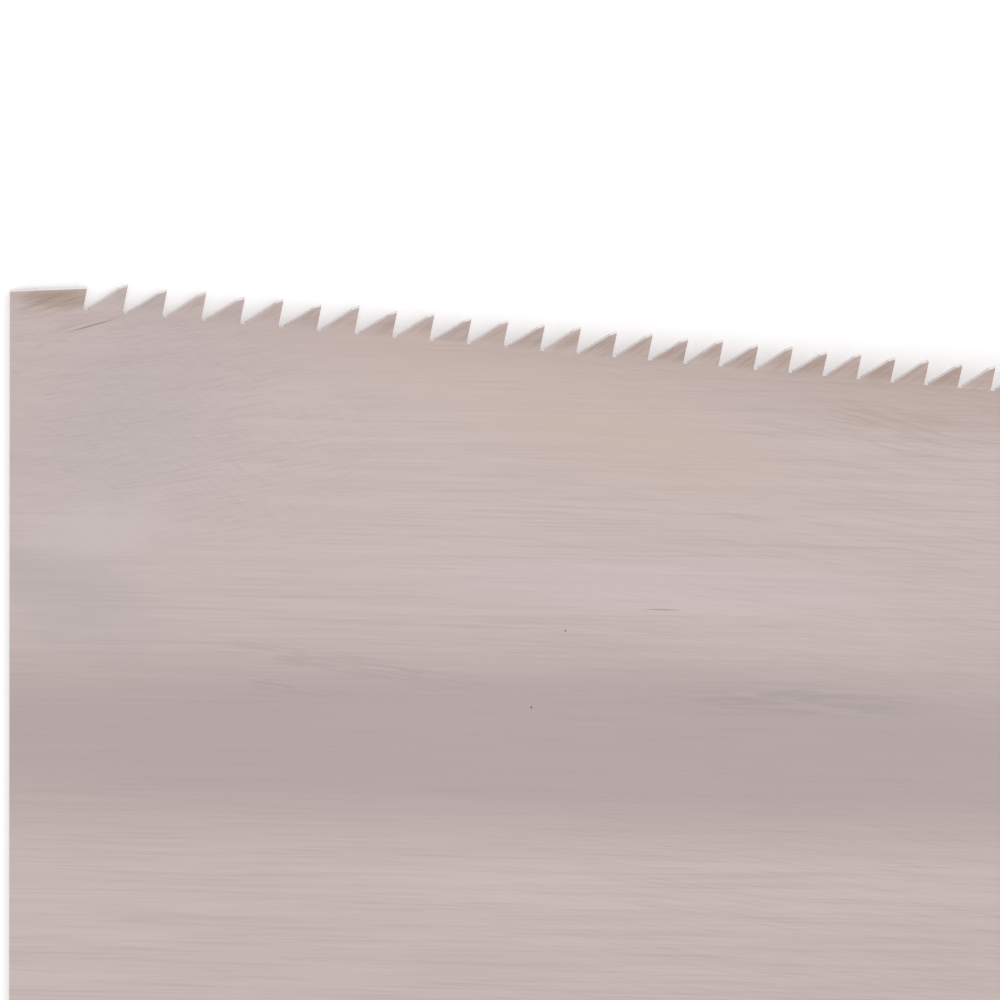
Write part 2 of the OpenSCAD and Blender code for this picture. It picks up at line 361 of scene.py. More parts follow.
class Mottle(Effect):
    """Cloudy patches of one size: scale, grime, uneven tone."""

    name = "mottle"
    ports = (
        Port("Vector", VECTOR, (0.0, 0.0, 0.0)),
        Port("Scale", value=100.0),
        Port("Low", value=0.4),
        Port("High", value=0.6),
        Port("Seed"),
    )

    def draw(self, graph: Graph, given: bpy.types.bpy_prop_collection) -> Socket:
        """Step a plain noise.

        Args:
            graph: The group's own tree.
            given: The outputs of its input node, by port.

        Returns:
            The socket that holds the mask.
        """
        moved = seeded(graph, given["Vector"], given["Seed"])
        noise = graph.noise(moved, scale=given["Scale"], detail=4.0, roughness=0.55)[0]
        return graph.ramp(noise, given["Low"], given["High"])


class Stain(Effect):
    """One patch at a place, longer than wide, with a ragged rim."""

    name = "stain"
    core = 0.25
    noise_middle = (0.5, 0.5, 0.5)
    ports = (
        Port("Vector", VECTOR, (0.0, 0.0, 0.0)),
        Port("Centre", VECTOR, (0.0, 0.0, 0.0)),
        Port("Radii", VECTOR, (0.01, 0.01, 0.01)),
        Port("Angle"),
        Port("Ragged", value=0.4),
        Port("Seed"),
    )

    def draw(self, graph: Graph, given: bpy.types.bpy_prop_collection) -> Socket:
        """Measure the distance from the centre in the patch's own radii, and fade from its core.

        Args:
            graph: The group's own tree.
            given: The outputs of its input node, by port.

        Returns:
            The socket that holds the mask.
        """
        offset = graph.vector("SUBTRACT", given["Vector"], given["Centre"])
        scaled = graph.vector("DIVIDE", graph.turned(offset, given["Angle"]), given["Radii"])
        noise = graph.noise(seeded(graph, scaled, given["Seed"]), scale=2.2, detail=2.0)[1]
        swing = graph.vector("SUBTRACT", noise, self.noise_middle)
        shift = graph.add(
            "ShaderNodeVectorMath", {0: swing, "Scale": given["Ragged"]}, operation="SCALE"
        ).outputs[0]
        distance = graph.length(graph.vector("ADD", scaled, shift))
        return graph.ramp(distance, self.core, 1.0, 1.0, 0.0)


class Rings(Effect):
    """Yearly rings of a straight trunk that runs along X."""

    name = "rings"
    stretch = (3.0, 45.0, 45.0)
    unevenness = 4.5 * MM
    late_wood_rises = (0.35, 0.9)
    late_wood_ends = (0.92, 1.0)
    ports = (
        Port("Vector", VECTOR, (0.0, 0.0, 0.0)),
        Port("Pith", VECTOR, (0.0, 0.0, 0.0)),
        Port("Spacing", value=1.6 * MM),
    )

    def draw(self, graph: Graph, given: bpy.types.bpy_prop_collection) -> Socket:
        """Turn the distance from the pith into thin dark lines of late wood.

        Args:
            graph: The group's own tree.
            given: The outputs of its input node, by port.

        Returns:
            The socket that holds the mask.
        """
        drawn = graph.vector("MULTIPLY", given["Vector"], self.stretch)
        noise = graph.noise(drawn, scale=1.0, detail=3.0)[0]
        wobble = graph.math("MULTIPLY", noise, self.unevenness)
        from_pith = graph.vector("SUBTRACT", given["Vector"], given["Pith"])
        distance = graph.length(graph.vector("MULTIPLY", from_pith, (0.0, 1.0, 1.0)))
        count = graph.math("DIVIDE", graph.math("ADD", distance, wobble), given["Spacing"])
        year = graph.math("FRACT", count)
        return graph.both(
            graph.ramp(year, *self.late_wood_rises), graph.ramp(year, *self.late_wood_ends, 1.0, 0.0)
        )


STREAKS = Streaks()
MOTTLE = Mottle()
STAIN = Stain()
RINGS = Rings()


def new_material(name: str) -> tuple[bpy.types.Material, Graph, bpy.types.Node]:
    """Make a material with an empty Principled BSDF.

    Args:
        name: The name of the finish.

    Returns:
        The material, its graph and its shader.
    """
    material = bpy.data.materials.new(name)
    material.use_nodes = True
    shader = next(node for node in material.node_tree.nodes if node.type == "BSDF_PRINCIPLED")
    return material, Graph(material.node_tree), shader


def bumped(graph: Graph, height: Socket, distance: float, strength: float = 0.6) -> Socket:
    """Return the normal of a surface with a fine relief.

    Args:
        graph: The material's tree.
        height: The relief, from 0 to 1.
        distance: How high 1 stands, in metres.
        strength: How much of it shows.

    Returns:
        The normal.
    """
    inputs = {"Height": height, "Distance": distance, "Strength": strength}
    return graph.add("ShaderNodeBump", inputs).outputs[0]


@dataclass(frozen=True)
class Mark:
    """A patch, stain, scratch or band of painted reflection on the plate.

    Its place is in millimetres from the middle of the toe's edge, towards the handle and the rip teeth.
    long and wide are its radii in millimetres, angle is in degrees, and share is how much of its colour
    shows. lines is the angle of the fine lines that it is made of, or None for an even patch.
    """

    x: float
    y: float
    long: float
    wide: float
    angle: float
    colour: Colour
    share: float
    lines: float | None = None
    ragged: float = 0.4
    face: Face = Face.UPPER


BROWN = (0.23, 0.16, 0.11)
UMBER = (0.40, 0.30, 0.25)
TAN = (0.575, 0.46, 0.405)
SMOKE = (0.38, 0.33, 0.34)
SLATE = (0.44, 0.41, 0.42)
PALE = (0.62, 0.55, 0.55)
DUSK = (0.42, 0.35, 0.345)
RUSSET = (0.36, 0.27, 0.22)
SPECK = (0.14, 0.11, 0.10)

MARKS = (
    # Brown along the rip edge, strongest on the teeth
    Mark(125.0, 40.0, 150.0, 9.0, -4.5, UMBER, 0.34),
    Mark(125.0, 40.8, 200.0, 1.9, -4.45, RUSSET, 0.3, ragged=0.2),
    Mark(125.0, 40.8, 200.0, 2.4, -4.45, RUSSET, 0.45, lines=38.0, ragged=0.2),
    # Rust along the plain edge between the toe and the first rip tooth
    Mark(4.6, 49.2, 5.4, 1.5, 1.0, UMBER, 0.75, ragged=0.25),
    Mark(4.6, 48.8, 5.2, 1.5, 6.0, BROWN, 0.42, lines=17.0, ragged=0.3),
    Mark(8.6, 47.0, 5.6, 0.9, 17.0, RUSSET, 0.5, lines=17.0),
    # Warm and cool haze
    Mark(54.0, 40.0, 34.0, 6.5, -8.0, TAN, 0.34, ragged=0.9),
    Mark(66.0, 34.0, 24.0, 6.0, -10.0, TAN, 0.5, ragged=0.8),
    Mark(12.0, 36.0, 22.0, 18.0, 60.0, SLATE, 0.3, ragged=0.8),
    Mark(6.0, 17.0, 12.0, 8.0, -20.0, SLATE, 0.42, ragged=0.9),
    # Painted reflection: the dark band along the middle of a hollow-ground face; and two patches of strokes
    Mark(60.0, 1.5, 170.0, 15.0, 0.0, DUSK, 0.72, ragged=0.3),
    Mark(36.0, 10.0, 22.0, 2.0, -8.0, DUSK, 0.5, lines=-7.0),
    Mark(92.0, 37.0, 12.0, 4.0, -12.0, UMBER, 0.3, lines=-14.0),
    # Painted reflection: paler places in the middle of the face; and smoky strokes
    Mark(9.0, 24.5, 12.0, 5.0, 5.0, PALE, 0.35, ragged=0.8),
    Mark(66.0, 19.5, 46.0, 4.2, 0.0, PALE, 0.3, ragged=0.4),
    Mark(29.0, 7.6, 9.0, 0.9, -7.0, SMOKE, 0.75, lines=-6.0),
    Mark(82.0, 7.0, 20.0, 2.4, -1.0, SMOKE, 0.6, lines=0.0),
    # Thin dark scratches and specks
    Mark(8.4, 46.4, 3.6, 0.1, 17.0, SPECK, 0.6, ragged=0.1),
    Mark(68.0, 16.8, 2.7, 0.1, 0.0, SPECK, 0.45, ragged=0.15),
    Mark(58.0, 14.3, 0.16, 0.16, 0.0, SPECK, 0.9, ragged=0.2),
    Mark(54.6, 5.8, 0.14, 0.2, 0.0, SPECK, 1.0, ragged=0.2),
    # Stains on the rest of the upper face, up to the neck
    Mark(186.0, -18.0, 36.0, 9.0, -12.0, UMBER, 0.3, ragged=0.9),
    Mark(243.0, 0.0, 30.0, 17.0, 0.0, SMOKE, 0.55, ragged=0.7),
    Mark(120.0, -42.0, 150.0, 7.0, 4.5, UMBER, 0.3),
    # Stains on the lower face
    Mark(40.0, 20.0, 40.0, 12.0, 8.0, TAN, 0.45, ragged=0.9, face=Face.LOWER),
    Mark(120.0, -12.0, 80.0, 10.0, 1.0, SLATE, 0.4, ragged=0.8, face=Face.LOWER),
    Mark(190.0, 14.0, 34.0, 8.0, -20.0, UMBER, 0.35, ragged=0.8, face=Face.LOWER),
    Mark(243.0, 0.0, 32.0, 18.0, 0.0, SMOKE, 0.55, ragged=0.7, face=Face.LOWER),
    Mark(5.0, 48.0, 8.0, 3.0, -20.0, BROWN, 0.5, lines=-30.0, face=Face.LOWER),
)


@dataclass(frozen=True)
class ScrapedSteel:
    """The plate's broad faces: scraped by hand, warm grey, with fine scratches, stains and painted
    reflection.
    """

    colour: Colour = (0.556, 0.462, 0.444)
    dark: Colour = (0.43, 0.355, 0.34)
    light: Colour = (0.66, 0.57, 0.555)
    roughness: tuple[float, float] = (0.31, 0.44)
    relief: float = 0.006 * MM
    cloud_grains: Size = (14.0, 60.0, 60.0)
    corner: tuple[float, float] = (14 * MM, 38 * MM)
    corner_radii: tuple[float, float] = (34 * MM, 26 * MM)
    falling_from: float = 35 * MM
    falling_fully: float = 75 * MM
    mark_depth: float = 0.6 * MM
    rim_seed: float = 20.0
    lines_seed: float = 60.0

    def material(self, toe: Vector, thickness: float, face: Face) -> bpy.types.Material:
        """Make the finish of one broad face.

        Args:
            toe: The middle of the toe's edge, in the middle of the plate's thickness.
            thickness: The plate's thickness.
            face: The face, which has its own marks.

        Returns:
            The material.
        """
        material, graph, shader = new_material(f"scraped_steel_{face.name.lower()}")
        place = graph.place()
        clouds = graph.vector("MULTIPLY", place, self.cloud_grains)
        tone = MOTTLE.mask(graph, vector=clouds, scale=1.0, seed=3.0)
        colour = graph.lay(self.colour, self.light, tone, share=0.16)
        colour, lines = self.scratched(graph, place, toe, colour)
        surface = toe + Vector((0.0, 0.0, face.value * thickness / 2))
        for number, mark in enumerate(MARKS):
            if mark.face is face:
                colour = self.marked(graph, place, surface, colour, number, mark)
        graph.fill(shader, {
            "Base Color": colour,
            "Metallic": 1.0,
            "Roughness": graph.ramp(lines, 0.0, 1.0, *self.roughness),
            "Normal": bumped(graph, lines, self.relief),
        })
        return material

    def scratched(
        self, graph: Graph, place: Socket, toe: Vector, colour: Socket
    ) -> tuple[Socket, Socket]:
        """Lay the scraping and scratching over a colour.

        The scratches run level, but in the corner of the toe they rise and drop, and past it some fall.

        Args:
            graph: The material's tree.
            place: The place on the plate.
            toe: The middle of the toe's edge.
            colour: The colour below.

        Returns:
            The new colour and a mask of the lines.
        """
        corner = STAIN.mask(
            graph, vector=place, centre=toe + Vector((*self.corner, 0.0)),
            radii=(*self.corner_radii, ANY_HEIGHT), ragged=0.7, seed=11.0,
        )
        elsewhere = graph.math("SUBTRACT", 1.0, corner)
        past = graph.ramp(graph.parts(place)[0], toe.x + self.falling_from, toe.x + self.falling_fully)
        level = STREAKS.mask(graph, vector=place, along=75.0, across=4200.0, low=0.44, high=0.66, seed=1.0)
        wide = STREAKS.mask(
            graph, vector=place, angle=radians(-1.0), along=30.0, across=900.0, low=0.4, high=0.7, seed=2.0
        )
        fall = STREAKS.mask(
            graph, vector=place, angle=radians(-9.0), along=120.0, across=5200.0, low=0.5, high=0.68,
            seed=4.0,
        )
        rise = STREAKS.mask(
            graph, vector=place, angle=radians(11.0), along=260.0, across=4600.0, low=0.48, high=0.64,
            seed=5.0,
        )
        drop = STREAKS.mask(
            graph, vector=place, angle=radians(-40.0), along=260.0, across=5200.0, low=0.52, high=0.68,
            seed=6.0,
        )
        level = graph.both(level, elsewhere)
        rise = graph.both(rise, corner)
        colour = graph.lay(colour, self.dark, level, share=0.34)
        colour = graph.lay(colour, self.light, wide, share=0.22)
        colour = graph.lay(colour, self.dark, graph.both(fall, past), share=0.3)
        colour = graph.lay(colour, self.dark, rise, share=0.34)
        colour = graph.lay(colour, self.dark, graph.both(drop, corner), share=0.26)
        return colour, graph.math("MAXIMUM", level, rise)

    def marked(
        self, graph: Graph, place: Socket, surface: Vector, colour: Socket, number: int, mark: Mark
    ) -> Socket:
        """Lay one mark over a colour.

        Args:
            graph: The material's tree.
            place: The place on the plate.
            surface: The middle of the toe's edge, at the height of the marked face.
            colour: The colour below.
            number: The mark's number, which keeps its rim and lines its own.
            mark: The mark.

        Returns:
            The new colour.
        """
        mask = STAIN.mask(
            graph, vector=place, centre=surface + Vector((mark.x * MM, mark.y * MM, 0.0)),
            radii=(mark.long * MM, mark.wide * MM, self.mark_depth), angle=radians(mark.angle),
            ragged=mark.ragged, seed=self.rim_seed + number,
        )
        if mark.lines is not None:
            lines = STREAKS.mask(
                graph, vector=place, angle=radians(mark.lines), along=180.0, across=2600.0, low=0.42,
                high=0.6, seed=self.lines_seed + number,
            )
            mask = graph.both(mask, lines)
        return graph.lay(colour, mark.colour, mask, mark.share)


@dataclass(frozen=True)
class FiledSteel:
    """The narrow faces that a file has cut: bright, with painted shade on the backs of the teeth."""

    bright: Colour = (0.80, 0.74, 0.735)
    dull_and_painted_shade: Colour = (0.58, 0.53, 0.52)
    roughness: tuple[float, float] = (0.3, 0.42)
    relief: float = 0.004 * MM
    # How far a face leans along the blade where the painted shade on the backs of the teeth starts and where
    # it is full
    lean_of_painted_shade: tuple[float, float] = (0.42, 0.55)

    def material(self) -> bpy.types.Material:
        """Make the finish.

        Returns:
            The material.
        """
        material, graph, shader = new_material("filed_steel")
        coordinates = graph.add("ShaderNodeTexCoord").outputs
        place = coordinates["Object"]
        lean = graph.math("ABSOLUTE", graph.parts(coordinates["Normal"])[0])
        # Painted shade: faces that lean along the blade, above all the backs of the teeth, are darkened for
        # the way that they face
        painted_shade_on_backs = graph.ramp(lean, *self.lean_of_painted_shade)
        strokes = STREAKS.mask(graph, vector=place, along=9000.0, across=900.0, low=0.45, high=0.65, seed=8.0)
        patches = MOTTLE.mask(graph, vector=place, scale=420.0, low=0.45, high=0.7, seed=9.0)
        colour = graph.lay(self.bright, self.dull_and_painted_shade, painted_shade_on_backs, share=0.85)
        colour = graph.lay(colour, self.dull_and_painted_shade, strokes, share=0.25)
        colour = graph.lay(colour, UMBER, patches, share=0.3)
        graph.fill(shader, {
            "Base Color": colour,
            "Metallic": 1.0,
            "Roughness": graph.ramp(strokes, 0.0, 1.0, *self.roughness),
            "Normal": bumped(graph, strokes, self.relief),
        })
        return material


@dataclass(frozen=True)
class ForgedIron:
    """Iron with dark forge scale, drawn smooth along its length with a hammer and a file."""

    dark: Colour = (0.055, 0.05, 0.048)
    light: Colour = (0.17, 0.155, 0.145)
    drawn: Colour = (0.3, 0.28, 0.27)
    rust: Colour = (0.16, 0.075, 0.04)
    metallic: float = 0.9
    roughness: tuple[float, float] = (0.42, 0.7)
    relief: float = 0.05 * MM

    def material(self) -> bpy.types.Material:
        """Make the finish.

        Returns:
            The material.
        """
        material, graph, shader = new_material("forged_iron")
        place = graph.place()
        scale = MOTTLE.mask(graph, vector=place, scale=180.0, low=0.4, high=0.62, seed=12.0)
        pits = MOTTLE.mask(graph, vector=place, scale=1300.0, low=0.5, high=0.64, seed=13.0)
        rusty = MOTTLE.mask(graph, vector=place, scale=90.0, low=0.56, high=0.72, seed=14.0)
        strokes = STREAKS.mask(graph, vector=place, along=90.0, across=3200.0, low=0.5, high=0.68, seed=15.0)
        colour = graph.mix(scale, self.dark, self.light)
        colour = graph.lay(colour, self.drawn, strokes, share=0.35)
        colour = graph.lay(colour, self.rust, rusty, share=0.5)
        colour = graph.lay(colour, self.dark, pits, share=0.5)
        graph.fill(shader, {
            "Base Color": colour,
            "Metallic": self.metallic,
            "Roughness": graph.ramp(pits, 0.0, 1.0, *self.roughness),
            "Normal": bumped(graph, graph.math("SUBTRACT", scale, pits), self.relief),
        })
        return material


@dataclass(frozen=True)
class RubbedIron:
    """The corners of the iron, where handling has worn the scale away."""

    colour: Colour = (0.38, 0.35, 0.33)
    scale: Colour = (0.09, 0.08, 0.075)
    roughness: tuple[float, float] = (0.34, 0.6)

    def material(self) -> bpy.types.Material:
        """Make the finish.

        Returns:
            The material.
        """
        material, graph, shader = new_material("rubbed_iron")
        left = MOTTLE.mask(graph, vector=graph.place(), scale=260.0, low=0.4, high=0.6, seed=16.0)
        graph.fill(shader, {
            "Base Color": graph.mix(left, self.colour, self.scale),
            "Metallic": 1.0,
            "Roughness": graph.ramp(left, 0.0, 1.0, *self.roughness),
        })
        return material


@dataclass(frozen=True)
class HandleWood:
    """Planed pale softwood with straight rings, darker where a hand has held it."""

    early: Colour = (0.66, 0.48, 0.29)
    late: Colour = (0.46, 0.28, 0.14)
    grime: Colour = (0.30, 0.18, 0.10)
    pith_aside: float = 21 * MM
    pith_below: float = 34 * MM
    spacing: float = 1.7 * MM
    grip_from_butt: float = 150 * MM
    grip_radii: Size = (150 * MM, 50 * MM, 50 * MM)
    end_radii: Size = (30 * MM, 50 * MM, 50 * MM)
    roughness: tuple[float, float] = (0.6, 0.42)
    relief: float = 0.05 * MM
    height_of_rings: float = 0.6

    def material(self, butt: Vector) -> bpy.types.Material:
        """Make the finish.

        Args:
            butt: The middle of the handle's end, on the plane of the blade.

        Returns:
            The material.
        """
        material, graph, shader = new_material("handle_wood")
        place = graph.place()
        pith = Vector((0.0, self.pith_aside, butt.z - self.pith_below))
        hold = butt - Vector((self.grip_from_butt, 0.0, 0.0))
        rings = RINGS.mask(graph, vector=place, pith=pith, spacing=self.spacing)
        fibre = STREAKS.mask(graph, vector=place, along=38.0, across=3400.0, low=0.4, high=0.7, seed=17.0)
        pores = STREAKS.mask(graph, vector=place, along=260.0, across=6400.0, low=0.6, high=0.7, seed=18.0)
        tone = MOTTLE.mask(graph, vector=place, scale=22.0, low=0.35, high=0.7, seed=19.0)
        grip = STAIN.mask(graph, vector=place, centre=hold, radii=self.grip_radii, ragged=0.5, seed=21.0)
        end = STAIN.mask(graph, vector=place, centre=butt, radii=self.end_radii, ragged=0.5, seed=22.0)
        colour = graph.lay(self.early, self.late, rings, share=0.75)
        colour = graph.lay(colour, self.late, fibre, share=0.3)
        colour = graph.lay(colour, self.grime, pores, share=0.35)
        colour = graph.lay(colour, self.late, tone, share=0.14)
        colour = graph.lay(colour, self.grime, grip, share=0.3)
        colour = graph.lay(colour, self.grime, end, share=0.35)
        height = graph.math("SUBTRACT", graph.math("MULTIPLY", rings, self.height_of_rings), pores)
        graph.fill(shader, {
            "Base Color": colour,
            "Roughness": graph.ramp(grip, 0.0, 1.0, *self.roughness),
            "Normal": bumped(graph, height, self.relief),
        })
        return material


@dataclass(frozen=True)
class SplitCane:
    """Split cane: smooth, a little glossy, with lengthwise fibres, knots and darker sides."""

    colour: Colour = (0.58, 0.37, 0.17)
    dark: Colour = (0.30, 0.155, 0.06)
    grime: Colour = (0.12, 0.07, 0.035)
    roughness: tuple[float, float] = (0.32, 0.57)
    relief: float = 0.02 * MM
    sides_from: float = 1.3 * MM
    sides_fully: float = 2.2 * MM

    def material(self) -> bpy.types.Material:
        """Make the finish, which follows the strip by its points' own record of their places on it.

        Returns:
            The material.
        """
        material, graph, shader = new_material("split_cane")
        strip = graph.add("ShaderNodeAttribute", attribute_name="winding").outputs["Vector"]
        across = graph.math("ABSOLUTE", graph.parts(strip)[1])
        fibre = STREAKS.mask(graph, vector=strip, along=45.0, across=7000.0, low=0.42, high=0.66, seed=24.0)
        tone = STREAKS.mask(graph, vector=strip, along=14.0, across=160.0, low=0.38, high=0.66, seed=25.0)
        knots = STREAKS.mask(graph, vector=strip, along=260.0, across=30.0, low=0.66, high=0.74, seed=26.0)
        sides = graph.ramp(across, self.sides_from, self.sides_fully)
        colour = graph.lay(self.colour, self.dark, tone, share=0.6)
        colour = graph.lay(colour, self.dark, fibre, share=0.35)
        colour = graph.lay(colour, self.grime, knots, share=0.6)
        colour = graph.lay(colour, self.grime, sides, share=0.75)
        graph.fill(shader, {
            "Base Color": colour,
            "Roughness": graph.ramp(sides, 0.0, 1.0, *self.roughness),
            "Normal": bumped(graph, fibre, self.relief),
        })
        return material


@dataclass(frozen=True)
class PaleFloor:
    """The studio's floor: nearly white, with the saw's shadow, and a little brighter to the camera."""

    colour: Colour = (0.90, 0.90, 0.905)
    shade: float = 0.985
    roughness: float = 0.9
    lift: float = 0.3

    def material(self) -> bpy.types.Material:
        """Make the finish.

        Returns:
            The material.
        """
        material, graph, shader = new_material("pale_floor")
        tone = MOTTLE.mask(graph, vector=graph.place(), scale=6.0, low=0.3, high=0.8, seed=30.0)
        shaded = tuple(self.shade * part for part in self.colour)
        graph.fill(shader, {
            "Base Color": graph.mix(tone, self.colour, shaded),
            "Roughness": self.roughness,
            "Emission Color": WHITE,
            "Emission Strength": graph.math("MULTIPLY", graph.seen("Glossy"), self.lift),
        })
        return material


def node_mesh(node: str, tidy_angle: float = radians(0.2)) -> bmesh.types.BMesh:
    """Copy a node's mesh with its triangles joined into whole faces.

    Args:
        node: The node's name.
        tidy_angle: Faces that meet at less than this are joined.

    Returns:
        The copy, which the caller frees.
    """
    work = bmesh.new()
    work.from_mesh(bpy.data.objects[node].data)
    bmesh.ops.remove_doubles(work, verts=work.verts, dist=MERGE_GAP)
    bmesh.ops.dissolve_limit(work, angle_limit=tidy_angle, verts=work.verts, edges=work.edges)
    return work


def round_edges(work: bmesh.types.BMesh, width: float, angle: float, segments: int, worn: int | None) -> None:
    """Round the sharp edges of a mesh.

    Args:
        work: The mesh.
        width: Width of the rounding.
        angle: Edges sharper than this are rounded.
        segments: Steps across the rounding.
        worn: Number of the material that the rounding takes, or None to keep that beside it.
    """
    sharp = [edge for edge in work.edges if edge.is_manifold and edge.calc_face_angle(0.0) > angle]
    bmesh.ops.bevel(
        work, geom=sharp, offset=width, offset_type="OFFSET", segments=segments, profile=0.5, affect="EDGES",
        clamp_overlap=True, material=-1 if worn is None else worn,
    )


def new_piece(
    work: bmesh.types.BMesh, name: str, materials: list[bpy.types.Material], smooth: float | None
) -> bpy.types.Object:
    """Turn a mesh into an object of the scene.

    Args:
        work: The mesh, freed here.
        name: The piece's name.
        materials: Its materials, in the order that its faces number them.
        smooth: Faces that meet at less than this angle are shaded as one, or None for flat faces.

    Returns:
        The object.
    """
    for face in work.faces:
        face.smooth = smooth is not None
    for edge in work.edges:
        edge.smooth = smooth is not None and edge.is_manifold and edge.calc_face_angle(pi) < smooth
    mesh = bpy.data.meshes.new(name)
    work.to_mesh(mesh)
    work.free()
    for material in materials:
        mesh.materials.append(material)
    piece = bpy.data.objects.new(name, mesh)
    bpy.context.scene.collection.objects.link(piece)
    return piece


def seat(piece: bpy.types.Object, body: str, node: str) -> None:
    """Put a piece in a node's place.

    Args:
        piece: The piece.
        body: The body that it moves with.
        node: The node that it stands for.
    """
    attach(piece, body)
    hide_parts(node)
    logger.info("%s stands for %s: %d faces", piece.name, node, len(piece.data.polygons))


@dataclass
class Plate:
    """The plate with its rows of teeth, filed a little unevenly by hand."""

    thickness: float = 0.9 * MM
    taper: float = radians(4.45)
    toe_land: float = 7.8 * MM
    rip_pitch: float = 4.1 * MM
    rip_least_pitch: float = 2 * MM
    rip_step: float = 0.9928
    rip_depth: float = 0.72
    rip_rake: float = radians(5.6)
    rip_room: float = 232 * MM
    root_gap: float = 0.05 * MM
    root_share: float = 0.02
    scatter: float = 0.09 * MM
    filing_seed: int = 5
    edge_round: float = 0.03 * MM
    sharp_angle: float = radians(30)
    narrow_face: float = 0.85

    def toe(self) -> Vector:
        """Return the middle of the toe's edge, in the middle of the thickness."""
        low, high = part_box("saw_plate")
        return Vector((low.x, (low.y + high.y) / 2, (low.z + high.z) / 2))

    def half_toe(self) -> float:
        """Return half the width between the lines of points at the toe."""
        first_point = self.toe_land + self.rip_pitch * (1 + self.rip_depth * tan(self.rip_rake))
        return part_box("saw_plate")[1].y + first_point * sin(self.taper)

    def from_edge(self, at: Vector, toe: Vector, half_toe: float) -> tuple[float, float]:
        """Measure a point from the line of the rip points.

        Args:
            at: The point.
            toe: The middle of the toe's edge.
            half_toe: Half the width between the lines of points at the toe.

        Returns:
            Its distance from the toe along the line, and its height over the line.
        """
        x = at.x - toe.x
        y = at.y - half_toe
        return x * cos(self.taper) - y * sin(self.taper), x * sin(self.taper) + y * cos(self.taper)

    def tooth_number(self, along: float, height: float) -> int | None:
        """Return which rip tooth a point belongs to, or None for a point outside the row.

        Args:
            along: Distance along the rip edge from the toe.
            height: Height over the line of points.

        Returns:
            The number of the tooth, from 0 at the toe.
        """
        over_root = height + self.rip_depth * self.rip_pitch
        foot = along - over_root * tan(self.rip_rake) - self.root_gap - self.toe_land
        if foot < 0 or foot > self.rip_room:
            return None
        return int(log(1 - foot * (1 - self.rip_step) / self.rip_pitch) / log(self.rip_step))

    def file_by_hand(self, work: bmesh.types.BMesh) -> None:
        """Lower each rip tooth a little, each by its own amount.

        Args:
            work: The plate's mesh.
        """
        draw = random.Random(self.filing_seed)
        lowered = [draw.random() for _ in range(ceil(self.rip_room / self.rip_least_pitch))]
        outward = Vector((sin(self.taper), cos(self.taper), 0.0))
        toe = self.toe()
        half_toe = self.half_toe()
        for vert in work.verts:
            along, height = self.from_edge(vert.co, toe, half_toe)
            number = self.tooth_number(along, height)
            if number is None:
                continue
            depth = self.rip_depth * self.rip_pitch * self.rip_step ** number
            share = (height + depth) / depth
            if share > self.root_share:
                vert.co -= outward * (self.scatter * lowered[number] * share)

    def finish_number(self, normal: Vector) -> int:
        """Say which finish a face takes.

        Args:
            normal: The way that the face looks.

        Returns:
            0 for the upper face, 1 for a narrow filed face and 2 for the lower face.
        """
        if abs(normal.z) < self.narrow_face:
            return 1
        return 0 if normal.z > 0 else 2

    def build(self) -> bpy.types.Object:
        """Build the plate.

        Returns:
            The piece.
        """
        work = node_mesh("saw_plate")
        self.file_by_hand(work)
        round_edges(work, self.edge_round, self.sharp_angle, segments=1, worn=None)
        work.normal_update()
        for face in work.faces:
            face.material_index = self.finish_number(face.normal)
        steel = ScrapedSteel()
        materials = [
            steel.material(self.toe(), self.thickness, Face.UPPER),
            FiledSteel().material(),
            steel.material(self.toe(), self.thickness, Face.LOWER),
        ]
        piece = new_piece(work, "toothed_plate", materials, smooth=None)
        seat(piece, "blade", "saw_plate")
        return piece


@dataclass
class Neck:
    """The iron neck with its leaves and tang."""

    edge_round: float = 0.25 * MM
    round_steps: int = 2
    sharp_angle: float = radians(28)
    smooth_angle: float = radians(24)

    def build(self) -> bpy.types.Object:
        """Build the neck and tang, whose roundings take the second material.

        Returns:
            The piece.
        """
        work = node_mesh("neck_and_tang")
        round_edges(work, self.edge_round, self.sharp_angle, segments=self.round_steps, worn=1)
        materials = [ForgedIron().material(), RubbedIron().material()]
        piece = new_piece(work, "forged_neck", materials, self.smooth_angle)
        seat(piece, "blade", "neck_and_tang")
        return piece


@dataclass
class Handle:
    """The split handle: two halves of one piece of wood, glued on the plane of the blade."""

    edge_round: float = 0.12 * MM
    round_steps: int = 2
    sharp_angle: float = radians(34)
    smooth_angle: float = radians(30)

    def build(self) -> list[bpy.types.Object]:
        """Build both halves.

        Returns:
            The pieces.
        """
        low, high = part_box("handle_upper_half")
        butt = Vector((high.x, (low.y + high.y) / 2, low.z))
        wood = HandleWood().material(butt)
        halves = []
        for side in ("upper", "lower"):
            node = f"handle_{side}_half"
            work = node_mesh(node)
            round_edges(work, self.edge_round, self.sharp_angle, segments=self.round_steps, worn=None)
            piece = new_piece(work, f"wooden_{side}_half", [wood], self.smooth_angle)
            seat(piece, "handle", node)
            halves.append(piece)
        return halves


@dataclass(frozen=True)
class Station:
    """A place on the route of the cane, with the way that its outer face looks and its width there."""

    place: Vector
    out: Vector
    width: float


